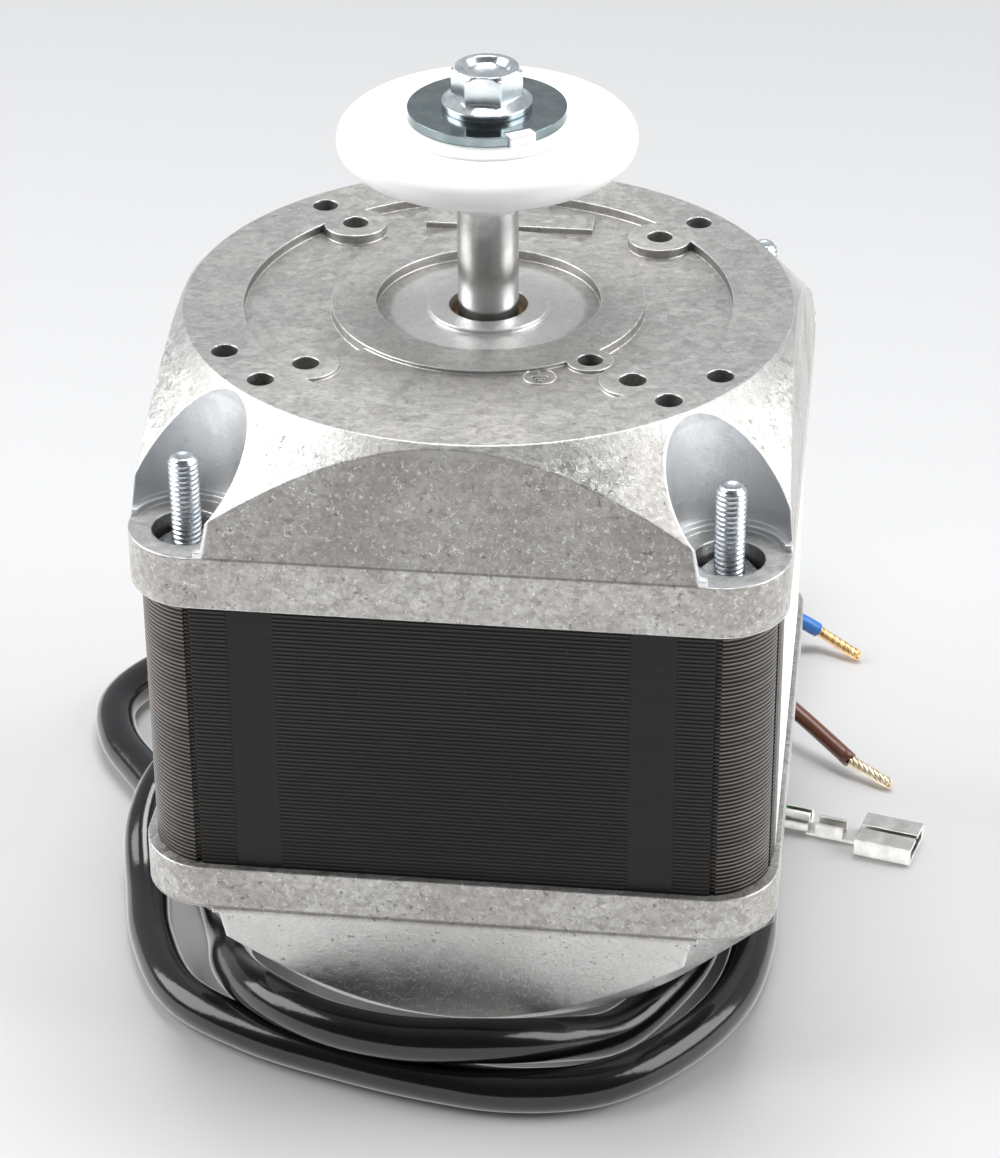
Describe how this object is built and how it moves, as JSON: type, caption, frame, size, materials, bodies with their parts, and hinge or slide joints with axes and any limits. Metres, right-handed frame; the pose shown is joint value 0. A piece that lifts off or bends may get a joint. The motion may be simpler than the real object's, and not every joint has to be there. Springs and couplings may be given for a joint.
{
  "type": "fan motor",
  "caption": "Square shaded-pole fan motor with cast end shields, a plastic fan hub on its shaft and a three-core cable.",
  "frame": {"origin": "centre of the boss under the rear shield, on which the motor stands", "axes": "+Z along the shaft towards the fan hub, -Y towards the front of the picture, +X to its right"},
  "size_m": [0.1271, 0.1456, 0.1278],
  "materials": {
    "cast_aluminium": "mottled die-cast",
    "black_sheet": "satin black",
    "winding": "enamelled wire",
    "bobbin_plastic": "satin",
    "copper": "bare",
    "core_sheet": "turned",
    "steel": "ground",
    "zinc": "blue zinc plated",
    "sintered_bronze": "sintered",
    "fibre": "plain",
    "felt": "oiled felt",
    "white_plastic": "satin",
    "label_foil": "plain foil",
    "black_rubber": "satin",
    "black_pvc": "gloss",
    "blue_pvc": "gloss",
    "brown_pvc": "gloss",
    "green_yellow_pvc": "gloss",
    "tin": "tin plated"
  },
  "bodies": {
    "housing": {"front_end_shield": "cast_aluminium", "rear_end_shield": "cast_aluminium", "stator_stack": "black_sheet", "coil_bobbins": "bobbin_plastic", "stator_coils": "winding", "shading_rings": "copper", "front_bush": "sintered_bronze", "rear_bush": "sintered_bronze", "felt_rings": "felt", "bush_retainers": "steel", "through_bolts": "zinc", "bolt_nuts": "zinc", "side_label": "label_foil", "cable_gland": "black_rubber", "cable": "black_pvc", "core_blue": "blue_pvc", "core_brown": "brown_pvc", "core_earth": "green_yellow_pvc", "blue_core_end": "copper", "brown_core_end": "copper", "earth_terminal": "tin"},
    "rotor": {"rotor_core": "core_sheet", "rotor_cage": "cast_aluminium", "rotor_spacers": "steel", "thrust_washers": "fibre", "shaft": "steel", "fan_hub": "white_plastic", "hub_washer": "zinc", "hub_screw": "zinc"}
  },
  "joints": [
    {"name": "spindle", "type": "hinge", "parent": "housing", "child": "rotor", "pos_m": [0, 0, 0.05], "axis": [0, 0, 1], "continuous": true}
  ]
}
